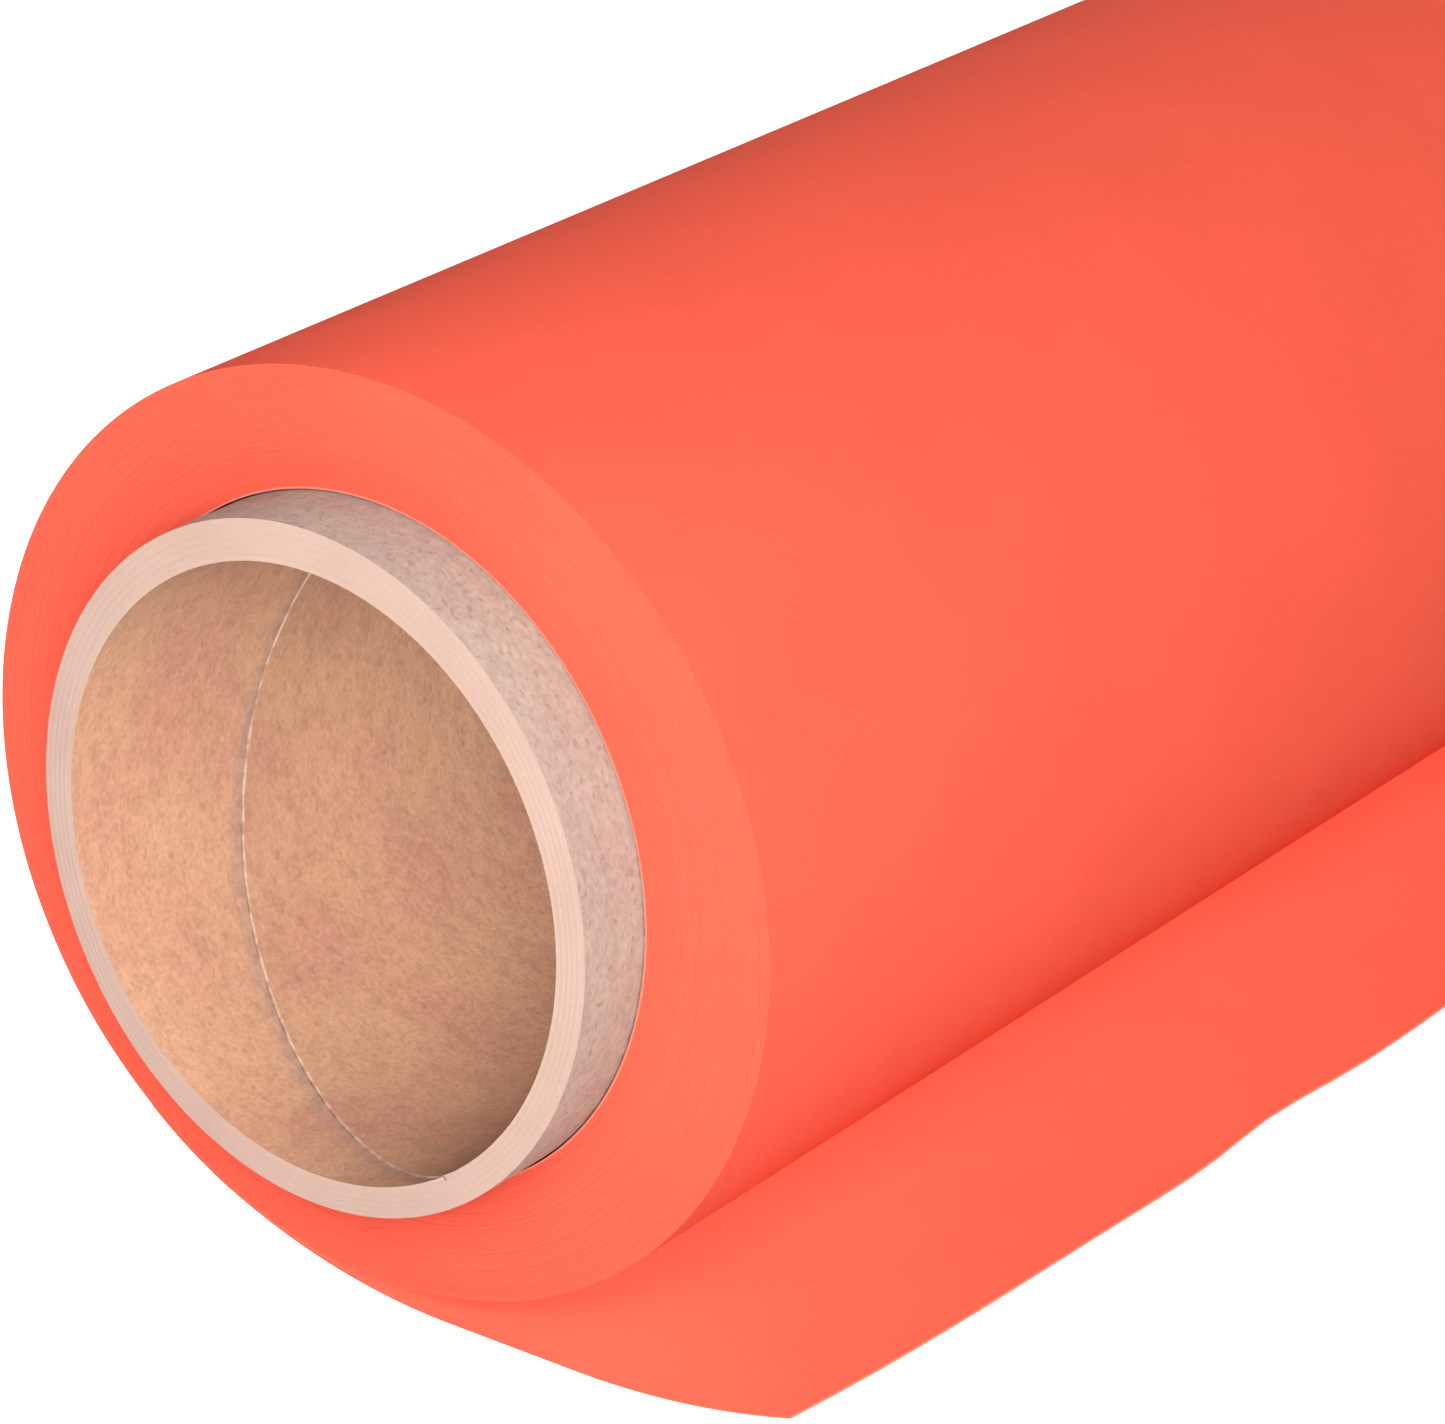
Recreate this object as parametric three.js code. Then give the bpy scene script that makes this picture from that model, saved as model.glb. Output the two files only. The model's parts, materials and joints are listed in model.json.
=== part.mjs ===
// Backdrop paper roll: a spiral-wound board core, the paper wound on it, and the paper's loose end.
// Millimetres, +Z up. The roll lies along Y, and its loose end lies on the floor towards +X.
// The origin is on the floor, under the middle of the whole object's box.

import * as THREE from "three";

// The paper.
const PAPER_WIDTH = 1350; // from one cut edge of the web to the other, along the roll
const PAPER_THICKNESS = 0.2; // one layer
const WINDING_BUILD = 11.2; // all the turns together, measured outwards from the core

// The core's plies, from the bore outwards.
const BORE_RADIUS = 28.5;
const LINER_PLY_THICKNESS = 0.35;
const BODY_PLY_THICKNESS = 0.45;
const BODY_PLY_COUNT = 4;
const OUTER_PLY_THICKNESS = 0.35;
const GLUE_LINE = 0.05; // between one ply and the next
const CORE_OVERHANG = 8; // what shows of the core past each edge of the paper

// The tape that holds the web's first edge to the core.
const TAPE_THICKNESS = 0.25;
const TAPE_END_MARGIN = 25; // from each edge of the paper to the end of the tape
const TAPE_FACETS = 5; // width of the tape, in facets of the core

// The loose end of the paper.
const TAIL_SLACK = 1.7; // between the winding and the loose layer that it lies on
const LEAVE_ANGLE = THREE.MathUtils.degToRad(22); // back from the lowest line, where the layer leaves
const FLOOR_START = 2; // how far back from the axis the loose layer meets the floor
const LIFT_LINE = 15; // from the axis to the line that the free end lifts about
const CURL_START = 22; // from the axis to where the free end starts to curl up
const CURL_RADIUS = 93;
const TAIL_REACH = 49; // from the axis to the free edge

// Fits and facets.
const CLEARANCE = 0.3; // between pieces that touch
const FACETS = 72; // round the core and the winding
const LOOSE_LAYER_STEPS = 8;
const CURL_STEPS = 8;

const FULL_TURN = 2 * Math.PI;
const FACET_ANGLE = FULL_TURN / FACETS;
const FIRST_CORNER = FACET_ANGLE / 2; // angle that puts the middle of a facet, not a corner, lowest

const PAPER_FINISH = { color: 0xfa6a52, roughness: 0.85, metalness: 0 };
const LINER_FINISH = { color: 0xdca282, roughness: 0.9, metalness: 0 };
const BOARD_FINISH = { color: 0xeac6b3, roughness: 0.95, metalness: 0 };
const OUTER_PLY_FINISH = { color: 0xdeac99, roughness: 0.9, metalness: 0 };
const TAPE_FINISH = { color: 0xe9dfc9, roughness: 0.55, metalness: 0 };

// Sizes that follow from the ones above.
const CORE_LENGTH = PAPER_WIDTH + 2 * CORE_OVERHANG;
const plyStack = layPlies();
const coreOuterRadius = plyStack.at(-1).outer;
const tapeInnerRadius = coreOuterRadius + CLEARANCE;
const tapeOuterRadius = tapeInnerRadius + TAPE_THICKNESS;
const windingInnerRadius = tapeOuterRadius + CLEARANCE;
const windingOuterRadius = windingInnerRadius + WINDING_BUILD;
const axisHeight = windingOuterRadius + TAIL_SLACK + PAPER_THICKNESS;
const axisX = (windingOuterRadius * Math.cos(FACET_ANGLE / 2) - TAIL_REACH) / 2;

// The plies of the core, each with its name, its finish and its two radii.
function layPlies() {
  const plies = [{ name: "core_liner_ply", thickness: LINER_PLY_THICKNESS, finish: LINER_FINISH }];
  for (let i = 1; i <= BODY_PLY_COUNT; i++) {
    plies.push({ name: `core_body_ply_${i}`, thickness: BODY_PLY_THICKNESS, finish: BOARD_FINISH });
  }
  plies.push({ name: "core_outer_ply", thickness: OUTER_PLY_THICKNESS, finish: OUTER_PLY_FINISH });
  let inner = BORE_RADIUS;
  for (const ply of plies) {
    ply.inner = inner;
    ply.outer = inner + ply.thickness;
    inner = ply.outer + GLUE_LINE;
  }
  return plies;
}

// A tube about Y, centred on the origin's plane.
function tubeGeometry(inner, outer, length) {
  const half = length / 2;
  const wall = [
    new THREE.Vector2(inner, -half),
    new THREE.Vector2(outer, -half),
    new THREE.Vector2(outer, half),
    new THREE.Vector2(inner, half),
    new THREE.Vector2(inner, -half),
  ];
  return new THREE.LatheGeometry(wall, FACETS, FIRST_CORNER, FULL_TURN);
}

// A point of a circle about the axis, at an angle up from +X.
function onCircle(radius, angle) {
  return new THREE.Vector2(radius * Math.cos(angle), radius * Math.sin(angle));
}

// A section in X and Z, drawn out along Y and centred on the origin's plane.
function drawnAlongY(section, length) {
  const geometry = new THREE.ExtrudeGeometry(section, { depth: length, bevelEnabled: false, steps: 1 });
  geometry.translate(0, 0, -length / 2);
  geometry.rotateX(Math.PI / 2);
  return geometry;
}

// The section of a sheet whose lower face runs through the given points, from -X to +X.
function sheetSection(lowerFace, thickness) {
  const upperFace = lowerFace.map((point, i) => {
    const before = lowerFace[Math.max(i - 1, 0)];
    const after = lowerFace[Math.min(i + 1, lowerFace.length - 1)];
    const along = after.clone().sub(before).normalize();
    return new THREE.Vector2(-along.y, along.x).multiplyScalar(thickness).add(point);
  });
  return new THREE.Shape([...lowerFace, ...upperFace.reverse()]);
}

function named(name, geometry, finish) {
  const mesh = new THREE.Mesh(geometry, new THREE.MeshStandardMaterial(finish));
  mesh.name = name;
  return mesh;
}

// A flat strip bent round the core, facet by facet, in the gap under the first turn of paper.
function startTape() {
  const first = Math.PI / 2 + FIRST_CORNER;
  const angles = Array.from({ length: TAPE_FACETS + 1 }, (_, i) => first + i * FACET_ANGLE);
  const outerFace = angles.map((angle) => onCircle(tapeOuterRadius, angle));
  const innerFace = angles.map((angle) => onCircle(tapeInnerRadius, angle)).reverse();
  const section = new THREE.Shape([...outerFace, ...innerFace]);
  return named("start_tape", drawnAlongY(section, PAPER_WIDTH - 2 * TAPE_END_MARGIN), TAPE_FINISH);
}

// The outermost layer, from where it leaves the winding to the line that the free end lifts about.
function looseTurn() {
  const leaveRadius = windingOuterRadius + CLEARANCE + PAPER_THICKNESS;
  const leave = onCircle(leaveRadius, -Math.PI / 2 - LEAVE_ANGLE).add(new THREE.Vector2(0, axisHeight));
  const fall = new THREE.Vector2(leave.x + leave.y / Math.tan(LEAVE_ANGLE), 0);
  const landing = new THREE.Vector2(-FLOOR_START, 0);
  const path = new THREE.QuadraticBezierCurve(leave, fall, landing).getPoints(LOOSE_LAYER_STEPS);
  const lowerFace = [...path, new THREE.Vector2(LIFT_LINE - CLEARANCE / 2, 0)];
  return named("loose_turn", drawnAlongY(sheetSection(lowerFace, PAPER_THICKNESS), PAPER_WIDTH), PAPER_FINISH);
}

// The free end, flat on the floor and then curled up to its cut edge.
function freeEnd() {
  const curlAngle = Math.asin((TAIL_REACH - CURL_START) / CURL_RADIUS);
  const curl = Array.from({ length: CURL_STEPS + 1 }, (_, i) => {
    return onCircle(CURL_RADIUS, -Math.PI / 2 + (curlAngle * i) / CURL_STEPS);
  });
  const curlCentre = new THREE.Vector2(CURL_START, CURL_RADIUS);
  const lowerFace = [
    new THREE.Vector2(LIFT_LINE + CLEARANCE / 2, 0),
    ...curl.map((point) => point.add(curlCentre)),
  ];
  return named("free_end", drawnAlongY(sheetSection(lowerFace, PAPER_THICKNESS), PAPER_WIDTH), PAPER_FINISH);
}

// Everything that turns together about the roll's axis.
const roll = new THREE.Group();
roll.position.set(axisX, 0, axisHeight);
for (const ply of plyStack) {
  roll.add(named(ply.name, tubeGeometry(ply.inner, ply.outer, CORE_LENGTH), ply.finish));
}
roll.add(startTape());
roll.add(named("wound_paper", tubeGeometry(windingInnerRadius, windingOuterRadius, PAPER_WIDTH), PAPER_FINISH));

// What stays on the floor.
const tail = new THREE.Group();
tail.position.set(axisX, 0, 0);
tail.add(looseTurn(), freeEnd());

const backdropPaperRoll = new THREE.Group();
backdropPaperRoll.add(roll, tail);

export default backdropPaperRoll;
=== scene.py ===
"""A roll of background paper on its board core, with the paper's loose end lying in front of it.

Metres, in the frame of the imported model: the roll lies along Y, +Z is up, and the loose end points to +X.
Angles round the roll are measured up from +X, and depths are measured in from the near end of the core.
"""

import json
import math
import random

import bmesh
import bpy
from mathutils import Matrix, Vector


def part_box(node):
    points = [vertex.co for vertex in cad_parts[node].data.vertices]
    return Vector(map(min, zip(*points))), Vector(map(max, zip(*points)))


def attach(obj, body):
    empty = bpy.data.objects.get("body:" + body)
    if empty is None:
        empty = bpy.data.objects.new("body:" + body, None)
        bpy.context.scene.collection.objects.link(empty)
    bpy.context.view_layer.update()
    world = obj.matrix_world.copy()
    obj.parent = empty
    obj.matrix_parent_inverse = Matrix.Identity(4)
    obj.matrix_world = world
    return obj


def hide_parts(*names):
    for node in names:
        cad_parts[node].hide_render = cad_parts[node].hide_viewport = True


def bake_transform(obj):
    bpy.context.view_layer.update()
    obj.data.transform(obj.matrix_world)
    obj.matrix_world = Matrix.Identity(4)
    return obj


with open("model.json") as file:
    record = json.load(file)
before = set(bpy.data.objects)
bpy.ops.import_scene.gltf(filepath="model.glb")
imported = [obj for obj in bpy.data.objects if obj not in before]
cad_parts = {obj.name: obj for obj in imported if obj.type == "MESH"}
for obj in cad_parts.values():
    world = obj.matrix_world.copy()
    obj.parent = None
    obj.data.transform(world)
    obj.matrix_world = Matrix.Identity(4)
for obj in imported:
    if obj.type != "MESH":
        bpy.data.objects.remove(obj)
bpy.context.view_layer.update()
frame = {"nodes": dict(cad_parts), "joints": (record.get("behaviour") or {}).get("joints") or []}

MM = 0.001
FULL_TURN = 2 * math.pi
TOUCHING = 1e-6  # points nearer than this are one point


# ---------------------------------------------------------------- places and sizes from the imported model

def joint(name):
    return next(j for j in frame["joints"] if j["name"] == name)


AXIS_X, _, AXIS_Z = joint("unwind")["pos_m"]


def wall_radii(node):
    """The inner and outer radius of a tube that lies round the roll's axis."""
    distances = [math.hypot(v.co.x - AXIS_X, v.co.z - AXIS_Z) for v in frame["nodes"][node].data.vertices]
    return min(distances), max(distances)


def ends(node):
    low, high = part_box(node)
    return low.y, high.y


WINDING_INNER, WINDING_OUTER = wall_radii("wound_paper")
PAPER_NEAR, PAPER_FAR = ends("wound_paper")
CORE_NEAR, CORE_FAR = ends("core_liner_ply")
CORE_LENGTH = CORE_FAR - CORE_NEAR

# The core's plies from the bore outwards, and the radius that each of them starts at.
PLY_NODES = ["core_liner_ply"] + [f"core_body_ply_{n}" for n in range(1, 5)] + ["core_outer_ply"]
PLY_STARTS = [wall_radii(node)[0] for node in PLY_NODES]
CORE_OUTER = wall_radii("core_outer_ply")[1]

# The paper and how it is wound.
PAPER_THICKNESS = 0.2 * MM
TURNS = 49
ROUND_STEPS = 192  # in one turn
SHARP_EDGE = 35  # degrees: a sharper edge than this stays crisp on the roll's pieces


# ---------------------------------------------------------------- working by hand

def deselect():
    for obj in bpy.context.selected_objects:
        obj.select_set(False)
    bpy.context.view_layer.objects.active = None


def make_active(obj):
    deselect()
    obj.select_set(True)
    bpy.context.view_layer.objects.active = obj


def editing(obj, mode="VERT"):
    """Opens a mesh for editing, with all of it selected."""
    make_active(obj)
    bpy.ops.object.mode_set(mode="EDIT")
    bpy.ops.mesh.select_mode(type=mode)
    bpy.ops.mesh.select_all(action="SELECT")


def done_editing():
    bpy.ops.object.mode_set(mode="OBJECT")


def drawn_line(name, points):
    """A line drawn from point to point: a small plane merged into its centre, then extruded along."""
    deselect()
    bpy.ops.mesh.primitive_plane_add(size=MM, location=points[0])
    obj = bpy.context.active_object
    obj.name = obj.data.name = name
    bpy.ops.object.transform_apply(location=True, rotation=True, scale=True)
    editing(obj)
    bpy.ops.mesh.merge(type="CENTER")
    for before, after in zip(points, points[1:]):
        bpy.ops.mesh.extrude_vertices_move(TRANSFORM_OT_translate={"value": Vector(after) - Vector(before)})
    done_editing()
    return obj


def spin_round_roll(obj, degrees, steps):
    """Turns a drawn line about the roll's axis."""
    editing(obj)
    bpy.ops.mesh.spin(
        steps=steps, angle=math.radians(degrees), center=(AXIS_X, 0, AXIS_Z), axis=(0, 1, 0), dupli=False
    )
    bpy.ops.mesh.select_all(action="SELECT")
    bpy.ops.mesh.remove_doubles(threshold=TOUCHING)
    bpy.ops.mesh.normals_make_consistent(inside=False)
    done_editing()


def modifier(obj, kind, **settings):
    """Adds a modifier, sets it and applies it."""
    made = obj.modifiers.new(kind.lower(), kind)
    for key, value in settings.items():
        setattr(made, key, value)
    make_active(obj)
    bpy.ops.object.modifier_apply(modifier=made.name)


def wander(obj, group, size, reach, direction):
    """Moves the points of a vertex group to and fro, by up to half of reach either way."""
    cloud = bpy.data.textures.new(f"{obj.name}_{group}", "CLOUDS")
    cloud.noise_scale = size
    cloud.noise_depth = 1
    modifier(obj, "DISPLACE", texture=cloud, strength=reach, mid_level=0.5, direction=direction,
             vertex_group=group, texture_coords="LOCAL")


def group_where(obj, name, chosen):
    """Makes a vertex group of the points that a test picks."""
    group = obj.vertex_groups.new(name=name)
    group.add([v.index for v in obj.data.vertices if chosen(v.co)], 1.0, "REPLACE")


def finish_where(obj, index, chosen):
    """Gives the material at an index to the faces that a test picks."""
    for face in obj.data.polygons:
        if chosen(face):
            face.material_index = index


def smooth(obj, degrees):
    make_active(obj)
    bpy.ops.object.shade_smooth_by_angle(angle=math.radians(degrees))


# How far out of round the core is, as (radius, width share, height share, sideways, downwards). The wall is
# thickest on top, and the paper's turns even it out until the outermost is round.
OUT_OF_ROUND = (
    (PLY_STARTS[0], 0.958, 1.011, -0.30 * MM, -0.56 * MM),
    (CORE_OUTER, 0.970, 1.030, -0.25 * MM, -0.10 * MM),
    (WINDING_OUTER, 1.0, 1.0, 0.0, 0.0),
)


def settle(obj):
    """Presses a finished piece of the roll out of round, as its radius from the axis says."""
    for vertex in obj.data.vertices:
        x, z = vertex.co.x - AXIS_X, vertex.co.z - AXIS_Z
        radius = math.hypot(x, z)
        inside, outside = OUT_OF_ROUND[:2] if radius < CORE_OUTER else OUT_OF_ROUND[1:]
        share = min(1.0, (radius - inside[0]) / (outside[0] - inside[0]))
        wide, high, sideways, downwards = (a + (b - a) * share for a, b in zip(inside[1:], outside[1:]))
        vertex.co.x = AXIS_X + x * wide + sideways
        vertex.co.z = AXIS_Z + z * high + downwards


def from_axis(point):
    return math.hypot(point.x - AXIS_X, point.z - AXIS_Z)


def is_core_end(face):
    """Whether a face is part of one of the core's two cut ends."""
    from_end = min(abs(face.center.y - y) for y in (CORE_NEAR, CORE_FAR))
    return abs(face.normal.y) > 0.9 and from_end < 0.05 * MM


# ---------------------------------------------------------------- materials

class Finish:
    """A Principled material that is built up node by node."""

    def __init__(self, name, roughness, specular):
        self.material = bpy.data.materials.new(name)
        self.material.use_nodes = True
        self.tree = self.material.node_tree
        self.shader = self.tree.nodes["Principled BSDF"]
        self.shader.inputs["Roughness"].default_value = roughness
        self.shader.inputs["Specular IOR Level"].default_value = specular
        self.place = self.add("ShaderNodeTexCoord").outputs["Object"]

    def add(self, kind, **settings):
        node = self.tree.nodes.new(kind)
        for key, value in settings.items():
            setattr(node, key, value)
        return node

    def join(self, source, target):
        self.tree.links.new(source, target)

    def stretched(self, scale):
        """The place, squeezed by a scale along each axis, so that a pattern on it is drawn out."""
        mapping = self.add("ShaderNodeMapping")
        mapping.inputs["Scale"].default_value = scale
        self.join(self.place, mapping.inputs["Vector"])
        return mapping.outputs["Vector"]

    def noise(self, size, detail=2.0, place=None):
        """Noise whose blotches are about size metres across."""
        node = self.add("ShaderNodeTexNoise")
        node.inputs["Scale"].default_value = 1 / size
        node.inputs["Detail"].default_value = detail
        self.join(place or self.place, node.inputs["Vector"])
        return node.outputs["Fac"]

    def ramp(self, value, *stops):
        node = self.add("ShaderNodeValToRGB")
        elements = node.color_ramp.elements
        while len(elements) < len(stops):
            elements.new(0.5)
        for element, (position, colour) in zip(elements, stops):
            element.position = position
            element.color = (*colour, 1)
        self.join(value, node.inputs["Fac"])
        return node.outputs["Color"]

    def level(self, value, low, high, to_low, to_high):
        node = self.add("ShaderNodeMapRange")
        for key, number in zip(("From Min", "From Max", "To Min", "To Max"), (low, high, to_low, to_high)):
            node.inputs[key].default_value = number
        self.join(value, node.inputs["Value"])
        return node.outputs["Result"]

    def mix(self, share, first, second, blend_type="MIX"):
        node = self.add("ShaderNodeMix", data_type="RGBA", blend_type=blend_type)
        node.inputs["Factor"].default_value = 1.0
        sockets = (node.inputs["Factor"], node.inputs[6], node.inputs[7])
        for socket, value in zip(sockets, (share, first, second)):
            if isinstance(value, bpy.types.NodeSocket):
                self.join(value, socket)
            elif isinstance(value, tuple):
                socket.default_value = (*value, 1)
            else:
                socket.default_value = value
        return node.outputs[2]

    def product(self, first, second):
        node = self.add("ShaderNodeMath", operation="MULTIPLY")
        self.join(first, node.inputs[0])
        self.join(second, node.inputs[1])
        return node.outputs["Value"]

    def attribute(self, name):
        return self.add("ShaderNodeAttribute", attribute_name=name).outputs["Fac"]

    def colour(self, value):
        self.join(value, self.shader.inputs["Base Color"])

    def rough(self, value, low, high):
        self.join(self.level(value, 0.3, 0.7, low, high), self.shader.inputs["Roughness"])

    def bump(self, height, depth, strength):
        """Bump from a height of 0 to 1 that stands depth metres deep."""
        node = self.add("ShaderNodeBump")
        node.inputs["Distance"].default_value = depth
        node.inputs["Strength"].default_value = strength
        self.join(height, node.inputs["Height"])
        self.join(node.outputs["Normal"], self.shader.inputs["Normal"])


WHITE = (1.0, 1.0, 1.0)


def coral_paper():
    """Dyed through and matt, with a faint felt of fibres and a slightly uneven colour."""
    finish = Finish("coral_paper", 0.9, 0.02)
    felt = finish.noise(0.5 * MM, 3.0)
    cloud = finish.noise(14 * MM, 2.0)
    base = finish.ramp(felt, (0.3, (0.610, 0.0785, 0.0468)), (0.7, (0.630, 0.0825, 0.0493)))
    shade = finish.ramp(cloud, (0.3, (0.96, 0.95, 0.95)), (0.7, WHITE))
    finish.colour(finish.mix(1.0, base, shade, "MULTIPLY"))
    finish.rough(felt, 0.84, 0.95)
    finish.bump(felt, 0.02 * MM, 0.5)
    return finish.material


def cut_coral_edge():
    """The innermost turn's cut edge, coloured paler than the paper so that it shows as a thin light line."""
    finish = Finish("cut_edge_of_coral_paper", 0.95, 0.1)
    fibre = finish.noise(0.3 * MM, 3.0)
    finish.colour(finish.ramp(fibre, (0.3, (0.58, 0.13, 0.09)), (0.7, (0.60, 0.17, 0.12))))
    finish.rough(fibre, 0.88, 0.98)
    finish.bump(fibre, 0.02 * MM, 0.4)
    return finish.material


def kraft(name, tan, pink, contrast, fibre_size):
    """Raw board paper: soft tan and pink clouds, fine fibres drawn out upwards, and a few specks and hairs.

    A pale line of torn fibres picks out one edge of its strip, and a painted shadow darkens the other."""
    finish = Finish(name, 0.92, 0.2)
    drawn_out = finish.stretched((1.0, 1.0, 0.75))
    fibre = finish.noise(fibre_size, 4.0, drawn_out)
    cloud = finish.noise(13 * MM, 2.0)
    fleck = finish.noise(1.6 * MM, 2.0, drawn_out)
    speck = finish.noise(0.6 * MM, 0.0, finish.stretched((1.0, 1.0, 0.6)))
    hair = finish.noise(0.42 * MM, 1.0, finish.stretched((1.0, 1.0, 0.35)))
    base = finish.ramp(cloud, (0.38, tan), (0.62, pink))
    grey = 1.0 - contrast
    toned = finish.mix(1.0, base, finish.ramp(fibre, (0.3, (grey, grey, grey)), (0.7, WHITE)), "MULTIPLY")
    soft_grey = 1.0 - contrast * 0.5
    flecks = finish.ramp(fleck, (0.35, (soft_grey, soft_grey, soft_grey)), (0.6, WHITE))
    mottled = finish.mix(1.0, toned, flecks, "MULTIPLY")
    haired = finish.mix(finish.level(hair, 0.68, 0.76, 0.0, 0.2), mottled, (0.46, 0.32, 0.24))
    speckled = finish.mix(finish.level(speck, 0.68, 0.76, 0.0, 0.4), haired, (0.22, 0.105, 0.07))
    patchy = finish.noise(1.1 * MM, 2.0)
    tear = finish.product(finish.attribute("torn_edge"), finish.level(patchy, 0.40, 0.60, 0.1, 0.8))
    # Painted shadow: a darker band along the seam's other edge, standing in for the shade there.
    painted_seam_shadow = finish.product(finish.attribute("painted_shadow_edge"), finish.level(patchy, 0.35, 0.55, 1.0, 0.35))
    torn = finish.mix(tear, speckled, (0.47, 0.34, 0.27))
    finish.colour(finish.mix(painted_seam_shadow, torn, (0.19, 0.122, 0.106)))
    finish.rough(fibre, 0.85, 0.97)
    finish.bump(fibre, 0.04 * MM, 0.5)
    return finish.material


def cut_board():
    """The pale cut end of the board."""
    finish = Finish("cut_board", 0.95, 0.15)
    grain = finish.noise(0.35 * MM, 3.0)
    patch = finish.noise(9 * MM, 1.0)
    base = finish.ramp(grain, (0.3, (0.354, 0.242, 0.197)), (0.7, (0.372, 0.254, 0.208)))
    tone = finish.ramp(patch, (0.3, (0.93, 0.92, 0.91)), (0.7, WHITE))
    finish.colour(finish.mix(1.0, base, tone, "MULTIPLY"))
    finish.rough(grain, 0.88, 0.98)
    finish.bump(grain, 0.02 * MM, 0.2)
    return finish.material


def cream_tape():
    """Creped paper tape, with its fine wrinkles across it."""
    finish = Finish("cream_paper_tape", 0.5, 0.4)
    crepe = finish.noise(0.8 * MM, 2.0, finish.stretched((1.0, 0.2, 1.0)))
    finish.colour(finish.ramp(crepe, (0.3, (0.47, 0.42, 0.31)), (0.7, (0.54, 0.49, 0.40))))
    finish.rough(crepe, 0.42, 0.6)
    finish.bump(crepe, 0.03 * MM, 0.6)
    return finish.material


PAPER = coral_paper()
PAPER_EDGE = cut_coral_edge()
BOARD = cut_board()
LINER_KRAFT = kraft("kraft_liner", (0.385, 0.208, 0.125), (0.360, 0.177, 0.115), 0.25, 0.42 * MM)
WRAP_KRAFT = kraft("kraft_wrap", (0.374, 0.304, 0.246), (0.352, 0.266, 0.224), 0.22, 0.5 * MM)
TAPE = cream_tape()


# ---------------------------------------------------------------- the wound paper

EDGE_SPREAD = 0.015 * MM  # how unevenly the turns' cut edges stand, near the core
OUTER_EDGE_SPREAD = 0.03 * MM  # and at the outside of the roll
EDGE_GROOVE = 0.02 * MM  # depth of the groove between one turn's cut edge and the next
WALL_STEPS = 24  # along the roll
TIGHT_INNER = CORE_OUTER + 0.15 * MM  # the first turns sit tight on the core, past the ends of the tape
TIGHT_LENGTH = 20 * MM  # from each end of the roll
TIGHT_STEP = 1 * MM  # along the roll, over which the bore then widens to leave room for the tape
LEAST_BACK = 0.01 * MM  # of any turn's cut edge from the end of the roll
END_ZONE = 1 * MM  # from each end, where the cut edges wander
END_WANDER_SIZE = 7 * MM
END_WANDER_REACH = 0.05 * MM
WINDING_SEED = 46


def cut_edges(rng):
    """The winding's end from the core outwards, as (radius, how far back), with a groove after each turn."""
    pitch = (WINDING_OUTER - TIGHT_INNER) / TURNS
    section = []
    for turn in range(TURNS):
        inner = TIGHT_INNER + turn * pitch
        share = turn / (TURNS - 1)
        spread = EDGE_SPREAD + share**3 * (OUTER_EDGE_SPREAD - EDGE_SPREAD)
        back = LEAST_BACK + abs(rng.gauss(0.0, spread))
        section.append((inner, back))
        section.append((inner + PAPER_THICKNESS, back))
        section.append((inner + (PAPER_THICKNESS + pitch) / 2, back + EDGE_GROOVE))
    section[-2:] = [(WINDING_OUTER, section[-2][1])]
    return section


def wound_paper():
    """The winding: its section drawn as a closed line and spun about the axis. Its cut edges then wander."""
    rng = random.Random(WINDING_SEED)
    near = [(AXIS_X + radius, PAPER_NEAR + back, AXIS_Z) for radius, back in cut_edges(rng)]
    far = [(AXIS_X + radius, PAPER_FAR - back, AXIS_Z) for radius, back in cut_edges(rng)]
    step = (PAPER_FAR - PAPER_NEAR) / WALL_STEPS
    wall = [(AXIS_X + WINDING_OUTER, PAPER_NEAR + step * n, AXIS_Z) for n in range(1, WALL_STEPS)]
    bore = [
        (AXIS_X + TIGHT_INNER, PAPER_FAR - TIGHT_LENGTH, AXIS_Z),
        (AXIS_X + WINDING_INNER, PAPER_FAR - TIGHT_LENGTH - TIGHT_STEP, AXIS_Z),
        (AXIS_X + WINDING_INNER, PAPER_NEAR + TIGHT_LENGTH + TIGHT_STEP, AXIS_Z),
        (AXIS_X + TIGHT_INNER, PAPER_NEAR + TIGHT_LENGTH, AXIS_Z),
    ]
    obj = drawn_line("wound_background_paper", near + wall + far[::-1] + bore + near[:1])
    spin_round_roll(obj, 360, ROUND_STEPS)
    group_where(obj, "cut_edges", lambda p: min(p.y - PAPER_NEAR, PAPER_FAR - p.y) < END_ZONE)
    wander(obj, "cut_edges", END_WANDER_SIZE, END_WANDER_REACH, "Y")
    obj.data.materials.append(PAPER)
    obj.data.materials.append(PAPER_EDGE)
    innermost = TIGHT_INNER + PAPER_THICKNESS
    finish_where(obj, 1, lambda f: abs(f.normal.y) > 0.5 and from_axis(f.center) < innermost)
    settle(obj)
    smooth(obj, SHARP_EDGE)
    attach(obj, "roll")
    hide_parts("wound_paper")


# ---------------------------------------------------------------- the loose end

LEAVE_ANGLE = math.radians(24.4)  # back from the lowest line, where the loose layer leaves the winding
FEATHER_ANGLE = math.radians(14)  # further back, over which it thins out into the winding
FEATHERED = 0.02 * MM  # its thickness there
CURL_START = 22 * MM  # from the axis
CURL_RADIUS = 93 * MM
REACH = 49.7 * MM  # from the axis to the free edge
FEATHER_STEPS = 8
SECTION_STEPS = 56
EDGE_STEPS = 270
SHEET_SHARP_EDGE = 40  # degrees


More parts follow.
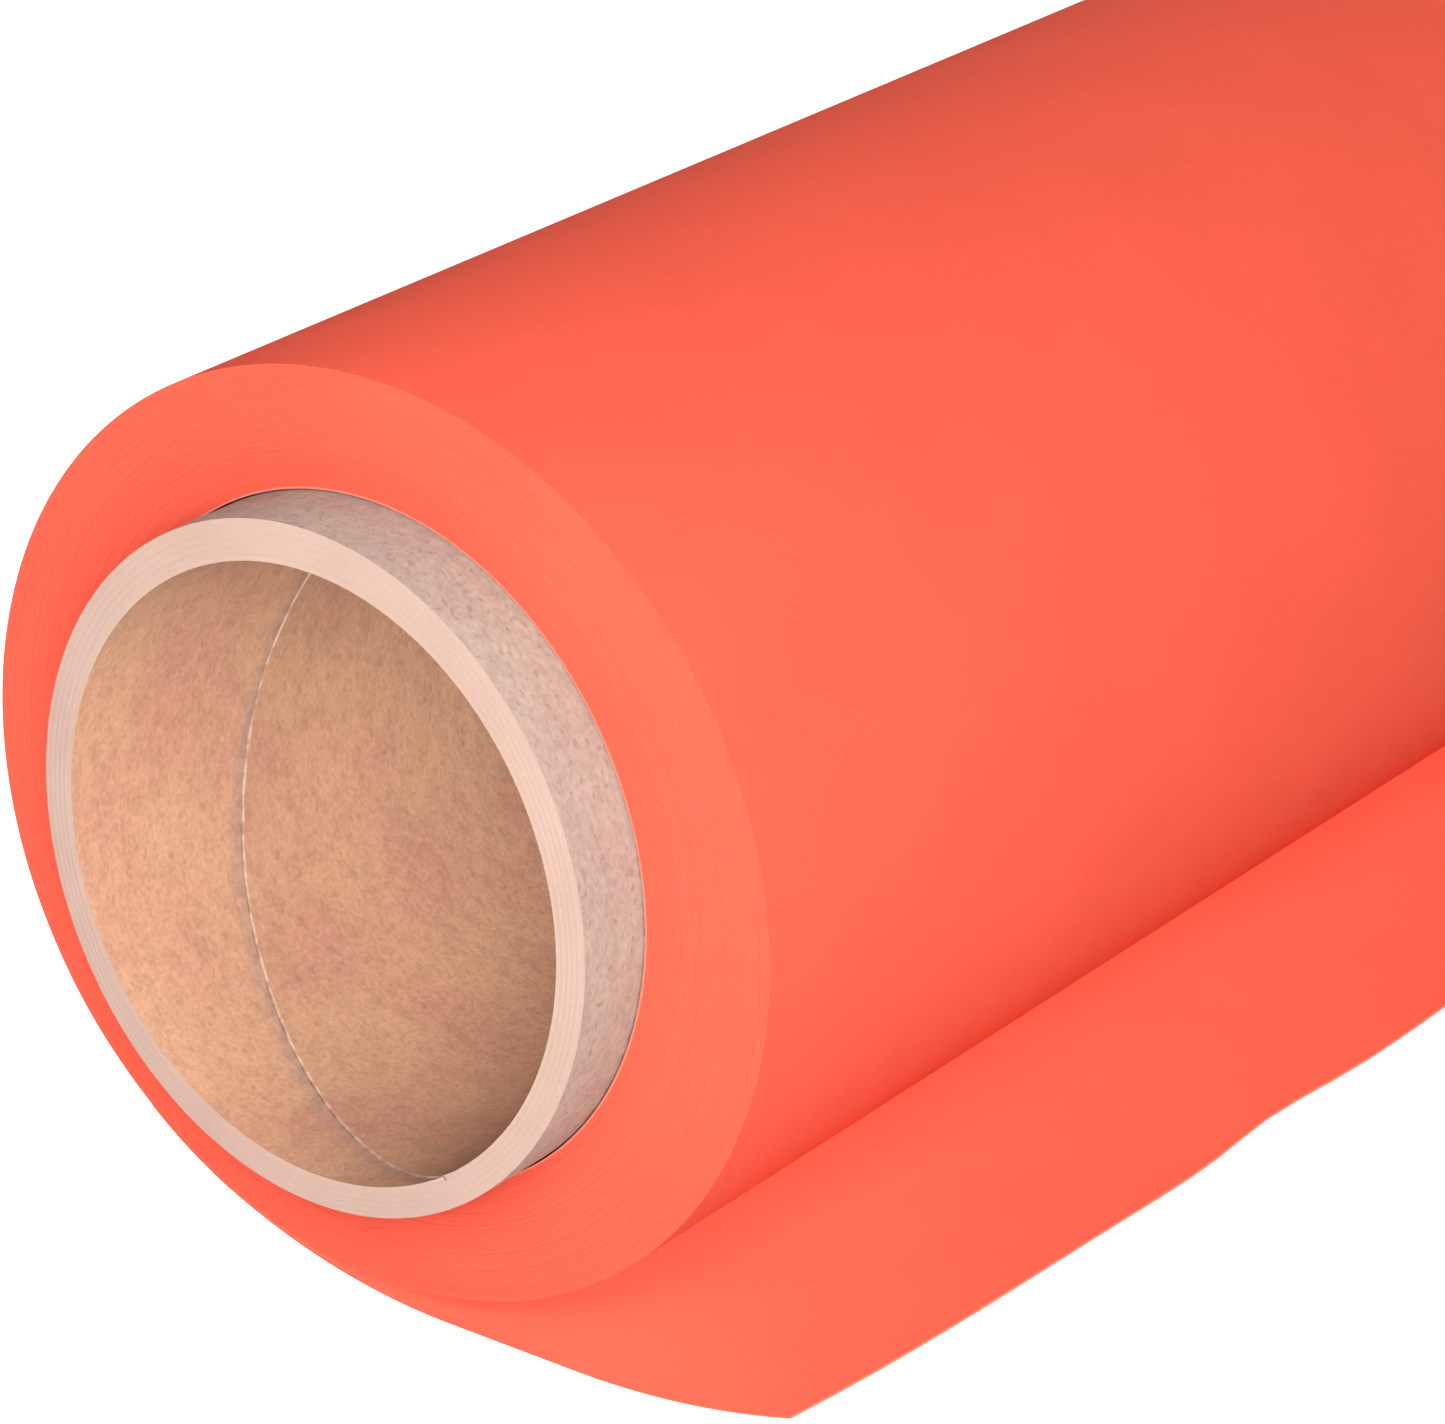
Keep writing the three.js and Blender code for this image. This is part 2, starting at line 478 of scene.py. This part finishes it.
# The wandering cut of the free edge, each as (how far it moves, and how it is spread along the roll).
NEAR_CORNER_PULL, NEAR_CORNER_FADE = 4.0 * MM, 28 * MM
FAR_CORNER_PULL, FAR_CORNER_FADE = 3.0 * MM, 32 * MM
DIP, DIP_PLACE, DIP_WIDTH = 2.0 * MM, 71 * MM, 10.7 * MM
SLOW_WAVE, SLOW_WAVE_FADE, SLOW_WAVE_LENGTH = 3.9 * MM, 0.5, 0.48
RIPPLE = 0.3 * MM
RIPPLE_LENGTHS = (0.21, 0.083)


def cut_line(y):
    """How far the free edge lies from the axis. The cut wanders a little, and each corner pulls in."""
    near, far = y - PAPER_NEAR, PAPER_FAR - y
    near_corner = NEAR_CORNER_PULL * math.exp(-near / NEAR_CORNER_FADE)
    far_corner = FAR_CORNER_PULL * math.exp(-far / FAR_CORNER_FADE)
    dip = DIP * math.exp(-(((near - DIP_PLACE) / DIP_WIDTH) ** 2))
    slow_wave = SLOW_WAVE * math.exp(-near / SLOW_WAVE_FADE) * math.sin(FULL_TURN * near / SLOW_WAVE_LENGTH)
    return REACH + slow_wave - near_corner - far_corner - dip


def under_face(across):
    """The height of the loose layer's under face at a distance from the axis along +X."""
    outer = WINDING_OUTER + PAPER_THICKNESS
    leave_x = -outer * math.sin(LEAVE_ANGLE)
    leave_z = AXIS_Z - outer * math.cos(LEAVE_ANGLE)
    fall_radius = leave_z / (1 - math.cos(LEAVE_ANGLE))
    landing = leave_x + fall_radius * math.sin(LEAVE_ANGLE)
    if across < landing:
        return fall_radius - math.sqrt(fall_radius**2 - (landing - across) ** 2)
    if across < CURL_START:
        return 0.0
    return CURL_RADIUS - math.sqrt(CURL_RADIUS**2 - (across - CURL_START) ** 2)


def ripple(across, y):
    """The small waves that the free edge has curled up into."""
    lift = max(0.0, (across - CURL_START) / (REACH - CURL_START)) ** 2
    long_wave, short_wave = RIPPLE_LENGTHS
    wave = 1 + math.sin(FULL_TURN * y / long_wave + 1.0) * math.sin(FULL_TURN * y / short_wave)
    return RIPPLE * lift * wave


def section_at(y):
    """The loose layer's under face as points from the winding to the free edge, and its thickness at each."""
    outer = WINDING_OUTER + PAPER_THICKNESS
    points, thicknesses = [], []
    for step in range(FEATHER_STEPS):
        share = step / FEATHER_STEPS
        angle = -math.pi / 2 - LEAVE_ANGLE - FEATHER_ANGLE * (1 - share)
        thickness = FEATHERED + (PAPER_THICKNESS - FEATHERED) * share
        radius = WINDING_OUTER + thickness
        points.append((radius * math.cos(angle), AXIS_Z + radius * math.sin(angle)))
        thicknesses.append(thickness)
    start, reach = -outer * math.sin(LEAVE_ANGLE), cut_line(y)
    for step in range(SECTION_STEPS + 1):
        across = start + (reach - start) * step / SECTION_STEPS
        points.append((across, under_face(across) + ripple(across, y)))
        thicknesses.append(PAPER_THICKNESS)
    return points, thicknesses


def loose_end():
    """The sheet, as one closed shell: an under face, an upper face and the four cut edges."""
    bm = bmesh.new()
    rings = []
    for edge_step in range(EDGE_STEPS + 1):
        y = PAPER_NEAR + (PAPER_FAR - PAPER_NEAR) * edge_step / EDGE_STEPS
        points, thicknesses = section_at(y)
        under, upper = [], []
        for k, ((x, z), thickness) in enumerate(zip(points, thicknesses)):
            before, after = points[max(k - 1, 0)], points[min(k + 1, len(points) - 1)]
            run, rise = after[0] - before[0], after[1] - before[1]
            scale = thickness / math.hypot(run, rise)
            under.append(bm.verts.new((AXIS_X + x, y, z)))
            upper.append(bm.verts.new((AXIS_X + x - rise * scale, y, z + run * scale)))
        rings.append(under + upper[::-1])
    around = len(rings[0])
    for first, second in zip(rings, rings[1:]):
        for k in range(around):
            after = (k + 1) % around
            bm.faces.new((first[k], first[after], second[after], second[k]))
    half = around // 2
    for ring in (rings[0], rings[-1]):
        for k in range(half - 1):
            bm.faces.new((ring[k], ring[k + 1], ring[around - 2 - k], ring[around - 1 - k]))
    bmesh.ops.recalc_face_normals(bm, faces=bm.faces)
    mesh = bpy.data.meshes.new("loose_end_of_paper")
    bm.to_mesh(mesh)
    bm.free()
    obj = bpy.data.objects.new("loose_end_of_paper", mesh)
    bpy.context.scene.collection.objects.link(obj)
    mesh.materials.append(PAPER)
    smooth(obj, SHEET_SHARP_EDGE)
    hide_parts("loose_turn", "free_end")
    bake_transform(obj)
    return obj


# ---------------------------------------------------------------- the core

STRIP_STEPS = 120  # in one turn
SEAM_GAP = 0.14 * MM
TORN_PROFILE = ((0.0, 1.0), (0.1 * MM, 1.0), (0.2 * MM, 0.6), (0.36 * MM, 0.0))  # (in from an edge, how torn)
PAINTED_SHADOW_PROFILE = ((1.9 * MM, 0.0), (1.0 * MM, 0.5), (0.0, 0.95))  # (in from the other edge, how dark its painted shadow is)
PAINTED_SHADOW_EDGE_SINK = 0.4  # how far the edge with the painted shadow sinks, as a share of the torn edge's lip
TORN_WANDER_SIZE = 1.6 * MM
TORN_WANDER_REACH = 0.3 * MM
SPARE_TURNS = 5  # so that the strip runs past both ends of the core before it is cut
EXACT = 1e-8  # a cut made nearer than this to a point moves to it
PLY_BEVEL = 0.008 * MM
LINER_LEAD, LINER_SEAM_DEPTH, LINER_LIP = 72.4 * MM, 60.9 * MM, 0.05 * MM
WRAP_LEAD, WRAP_SEAM_DEPTH, WRAP_LIP = 84 * MM, 50 * MM, 0.04 * MM


def strip_section(inner, outer, lead, lip, shown_inside):
    """A spiral strip's section across its width, as (radius, place, torn, painted shadow), round its two
    faces.
    """
    width = lead - SEAM_GAP
    shown = [(place, torn, 0.0) for place, torn in TORN_PROFILE]
    shown += [(lead * share, 0.0, 0.0) for share in (0.2, 0.4, 0.6, 0.8)]
    shown += [(width - back, 0.0, painted_shadow) for back, painted_shadow in PAINTED_SHADOW_PROFILE]
    face, back, outwards = (inner, outer, -1) if shown_inside else (outer, inner, 1)
    front_points, back_points = [], []
    for place, torn, painted_shadow in shown:
        front_points.append((face + outwards * lip * (torn - PAINTED_SHADOW_EDGE_SINK * painted_shadow), place, torn, painted_shadow))
        back_points.append((back, place, torn, painted_shadow))
    return front_points + back_points[::-1]


def section_row(section, radius, place):
    """The row of a strip's section that lies nearest to a point of it."""
    return min(section, key=lambda row: math.hypot(row[0] - radius, row[1] - place))


def spiral_ply(name, node, inner, outer, lead, seam_depth, lip, shown_inside, finish):
    """A strip wound in a spiral, its edges meeting in a butt seam, cut square at both ends of the core.

    The seam runs seam_depth in from the near end at angle 0, and climbs by lead in a turn."""
    section = strip_section(inner, outer, lead, lip, shown_inside)
    first_place = seam_depth - 3 * lead
    points = [(radius, first_place + place, 0) for radius, place, _, _ in section]
    obj = drawn_line(name, points)
    editing(obj)
    bpy.ops.mesh.edge_face_add()
    bpy.ops.mesh.delete(type="ONLY_FACE")
    done_editing()
    rows = [section_row(section, v.co.x, v.co.y - first_place) for v in obj.data.vertices]
    # The pale torn fibres along one edge, and the painted shadow along the other edge, as point attributes.
    for label, column in (("torn_edge", 2), ("painted_shadow_edge", 3)):
        layer = obj.data.attributes.new(label, "FLOAT", "POINT")
        layer.data.foreach_set("value", [row[column] for row in rows])
    torn = obj.vertex_groups.new(name="torn_edge")
    torn.add([k for k, row in enumerate(rows) if row[2] > 0], 1.0, "REPLACE")
    turns = math.ceil(CORE_LENGTH / lead) + SPARE_TURNS
    modifier(obj, "SCREW", axis="Y", angle=FULL_TURN, screw_offset=lead, iterations=turns,
             steps=STRIP_STEPS, render_steps=STRIP_STEPS)
    wander(obj, "torn_edge", TORN_WANDER_SIZE, TORN_WANDER_REACH, "Y")
    obj.location = (AXIS_X, CORE_NEAR, AXIS_Z)
    make_active(obj)
    bpy.ops.object.transform_apply(location=True, rotation=True, scale=True)
    for y, outwards in ((CORE_NEAR, -1), (CORE_FAR, 1)):
        editing(obj)
        bpy.ops.mesh.bisect(
            plane_co=(0, y, 0), plane_no=(0, outwards, 0), clear_outer=True, use_fill=True, threshold=EXACT
        )
        done_editing()
    editing(obj)
    bpy.ops.mesh.normals_make_consistent(inside=False)
    done_editing()
    obj.data.materials.append(finish)
    obj.data.materials.append(BOARD)
    finish_where(obj, 1, is_core_end)
    settle(obj)
    smooth(obj, SHARP_EDGE)
    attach(obj, "roll")
    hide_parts(node)
    return obj


def liner_ply():
    obj = spiral_ply("core_liner_strip", PLY_NODES[0], PLY_STARTS[0], PLY_STARTS[1], LINER_LEAD,
                     LINER_SEAM_DEPTH, LINER_LIP, True, LINER_KRAFT)
    return obj


def outer_ply():
    obj = spiral_ply("core_wrap_strip", PLY_NODES[-1], PLY_STARTS[-1], CORE_OUTER, WRAP_LEAD,
                     WRAP_SEAM_DEPTH, WRAP_LIP, False, WRAP_KRAFT)


def body_ply(number):
    """One ply of pale board: an open cylinder given its wall, with its cut edges slightly softened."""
    inner, outer = PLY_STARTS[number], PLY_STARTS[number + 1]
    deselect()
    bpy.ops.mesh.primitive_cylinder_add(
        vertices=ROUND_STEPS, radius=outer, depth=CORE_LENGTH, end_fill_type="NOTHING",
        location=(AXIS_X, (CORE_NEAR + CORE_FAR) / 2, AXIS_Z), rotation=(math.pi / 2, 0, 0),
    )
    obj = bpy.context.active_object
    obj.name = obj.data.name = f"core_board_ply_{number}"
    bpy.ops.object.transform_apply(location=True, rotation=True, scale=True)
    modifier(obj, "SOLIDIFY", thickness=outer - inner, offset=-1.0)
    modifier(obj, "BEVEL", width=PLY_BEVEL, segments=2, limit_method="ANGLE", angle_limit=math.radians(60))
    editing(obj)
    bpy.ops.mesh.normals_make_consistent(inside=False)
    done_editing()
    obj.data.materials.append(BOARD)
    settle(obj)
    smooth(obj, SHARP_EDGE)
    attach(obj, "roll")
    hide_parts(PLY_NODES[number])


TAPE_START = 92.5  # degrees up from +X
TAPE_SWEEP = 25.0
TAPE_STEPS_ALONG = 90
TAPE_STEPS_ROUND = 12


def tape_strip():
    """The tape that holds the paper's first edge: a straight line spun part of a turn and given its wall."""
    inner, outer = wall_radii("start_tape")
    near, far = ends("start_tape")
    angle = math.radians(TAPE_START + TAPE_SWEEP)
    x, z = AXIS_X + outer * math.cos(angle), AXIS_Z + outer * math.sin(angle)
    line = [(x, near + (far - near) * n / TAPE_STEPS_ALONG, z) for n in range(TAPE_STEPS_ALONG + 1)]
    obj = drawn_line("paper_start_tape", line)
    spin_round_roll(obj, TAPE_SWEEP, TAPE_STEPS_ROUND)
    if obj.data.polygons[0].normal.z < 0:
        editing(obj)
        bpy.ops.mesh.flip_normals()
        done_editing()
    modifier(obj, "SOLIDIFY", thickness=outer - inner, offset=-1.0)
    obj.data.materials.append(TAPE)
    settle(obj)
    smooth(obj, SHARP_EDGE)
    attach(obj, "roll")
    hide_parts("start_tape")
    return obj


# ---------------------------------------------------------------- floor, light and camera

FLOOR_GLOW = 0.75  # lifts the floor to a clean white where it is seen, and lights nothing
FLOOR_SIZE = 40
FLOOR_DROP = 0.1 * MM  # below what stands on it
ROOM_LIGHT = 0.38
LENS = 148.8
CAMERA_TURN, CAMERA_DIP = math.radians(36.62), math.radians(23.51)
CAMERA_PLACE = (AXIS_X + 0.3067, PAPER_NEAR - 0.361, AXIS_Z + 0.218)


def floor():
    deselect()
    bpy.ops.mesh.primitive_plane_add(size=FLOOR_SIZE, location=(0, 0, -FLOOR_DROP))
    obj = bpy.context.active_object
    obj.name = "studio_floor"
    material = bpy.data.materials.new("pale_floor")
    material.use_nodes = True
    shader = material.node_tree.nodes["Principled BSDF"]
    shader.inputs["Base Color"].default_value = (0.8, 0.8, 0.8, 1)
    shader.inputs["Roughness"].default_value = 1.0
    shader.inputs["Specular IOR Level"].default_value = 0.0
    shader.inputs["Emission Color"].default_value = (1, 1, 1, 1)
    seen = material.node_tree.nodes.new("ShaderNodeLightPath").outputs["Is Camera Ray"]
    glow = material.node_tree.nodes.new("ShaderNodeMath")
    glow.operation = "MULTIPLY"
    glow.inputs[1].default_value = FLOOR_GLOW
    material.node_tree.links.new(seen, glow.inputs[0])
    material.node_tree.links.new(glow.outputs["Value"], shader.inputs["Emission Strength"])
    obj.data.materials.append(material)


def soft_light(name, target, direction, distance, size, watts):
    """A round area light at a distance from its target, in a direction, turned to face it."""
    data = bpy.data.lights.new(name, "AREA")
    data.shape = "DISK"
    data.size = size
    data.energy = watts
    obj = bpy.data.objects.new(name, data)
    bpy.context.scene.collection.objects.link(obj)
    away = Vector(direction).normalized() * distance
    obj.location = Vector(target) + away
    obj.rotation_euler = (-away).to_track_quat("-Z", "Y").to_euler()
    obj.visible_camera = False
    return obj


def soft_room(strength):
    world = bpy.data.worlds.new("soft_room")
    world.use_nodes = True
    background = world.node_tree.nodes["Background"]
    background.inputs["Color"].default_value = (1, 1, 1, 1)
    background.inputs["Strength"].default_value = strength
    bpy.context.scene.world = world


def camera():
    """Looks at the near end of the roll from in front, from the loose end's side and from above."""
    data = bpy.data.cameras.new("camera")
    data.sensor_width = 36
    data.lens = LENS
    data.clip_start = 0.01
    obj = bpy.data.objects.new("camera", data)
    bpy.context.scene.collection.objects.link(obj)
    obj.location = CAMERA_PLACE
    turn, dip = CAMERA_TURN, CAMERA_DIP
    looking = Vector((-math.sin(turn) * math.cos(dip), math.cos(turn) * math.cos(dip), -math.sin(dip)))
    obj.rotation_euler = looking.to_track_quat("-Z", "Y").to_euler()
    bpy.context.scene.camera = obj


def light_only(light, piece, shaded_by):
    """Keeps a light to one piece, and lets only one piece shade it."""
    for label, part in (("receiver_collection", piece), ("blocker_collection", shaded_by)):
        only = bpy.data.collections.new(f"{light.name}_{label}")
        only.objects.link(part)
        setattr(light.light_linking, label, only)


# The lamps, as (name, how far past the paper's near end it is aimed, direction, distance, size, watts).
LAMPS = (
    ("key_by_camera", 0.03, (0.55, -0.74, 0.40), 0.6, 0.3, 3.0),
    ("key_close", 0.0, (0.6, -0.74, 0.5), 0.36, 0.2, 0.70),
    ("front_close", 0.0, (0.3, -0.85, 0.45), 0.33, 0.2, 0.57),
    ("top", 0.1, (0, 0, 1), 0.8, 0.6, 1.8),
    ("far_right", 1.05, (0.5, 0, 0.55), 0.75, 0.6, 4.0),
    ("far_left", 1.0, (-0.55, 0, 0.5), 0.75, 0.6, 4.6),
    ("loose_layer", 0.05, (0.85, -0.3, 0.6), 0.6, 0.25, 7.4),
    ("bore", 0.07, (0.85, -0.12, 0.32), 0.5, 0.25, 2.9),
    ("low_right", 0.02, (0.9, -0.35, 0.12), 0.28, 0.15, 0.12),
)


def studio_lights(loose_layer, liner, tape):
    """Hangs the lamps. One lights the loose layer alone, and one the liner, through the core's wall."""
    lamps = {}
    for name, inwards, *how in LAMPS:
        lamps[name] = soft_light(name, (AXIS_X, PAPER_NEAR + inwards, AXIS_Z), *how)
    light_only(lamps["loose_layer"], loose_layer, loose_layer)
    light_only(lamps["bore"], liner, tape)


camera()
bpy.context.scene.view_settings.view_transform = "Standard"
soft_room(ROOM_LIGHT)
floor()
wound_paper()
studio_lights(loose_end(), liner_ply(), tape_strip())
outer_ply()
for number in range(1, 5):
    body_ply(number)
